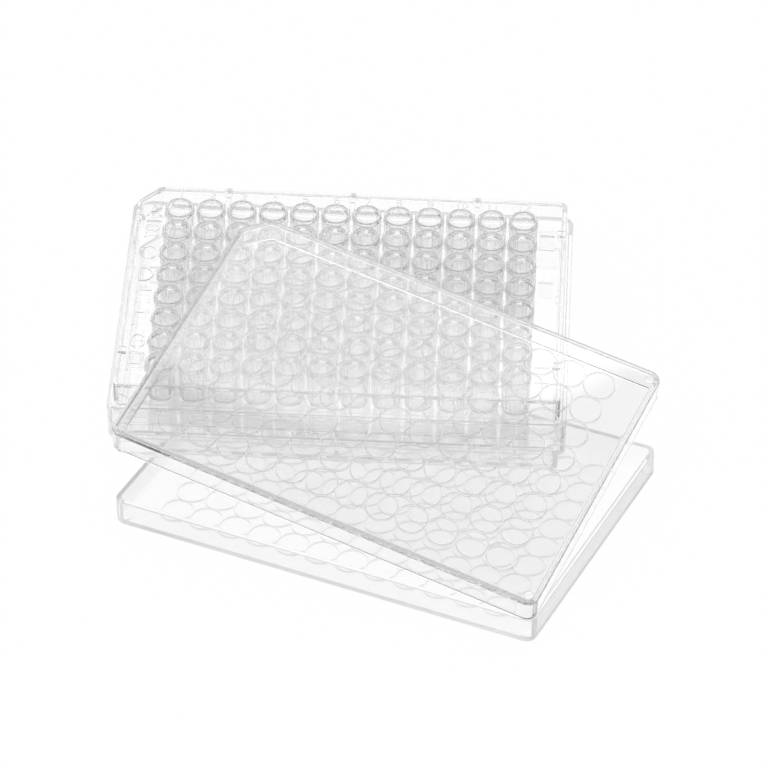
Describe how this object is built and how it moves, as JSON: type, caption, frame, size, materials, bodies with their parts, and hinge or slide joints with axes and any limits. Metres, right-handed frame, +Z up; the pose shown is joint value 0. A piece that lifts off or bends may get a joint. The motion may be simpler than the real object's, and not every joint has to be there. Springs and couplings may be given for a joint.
{
  "type": "96-well microplate with lid",
  "caption": "Clear moulded microplate with rows of round flat-bottomed wells on a stepped base skirt, and its shallow skirted lid leaning across one end.",
  "frame": {"origin": "centre of the plate's footprint, on the plane of the base skirt's lower edge, which is the bench", "axes": "+X along a row from column 1 to column 12, +Y across the rows from row H to row A, +Z up out of the wells"},
  "size_m": [0.153, 0.153, 0.0292],
  "materials": {
    "plate_plastic": "clear polystyrene, moulded with a polished surface",
    "lid_plastic": "clear polystyrene, moulded with a polished surface"
  },
  "bodies": {
    "root": {"plate": "plate_plastic", "lid": "lid_plastic"}
  },
  "joints": []
}
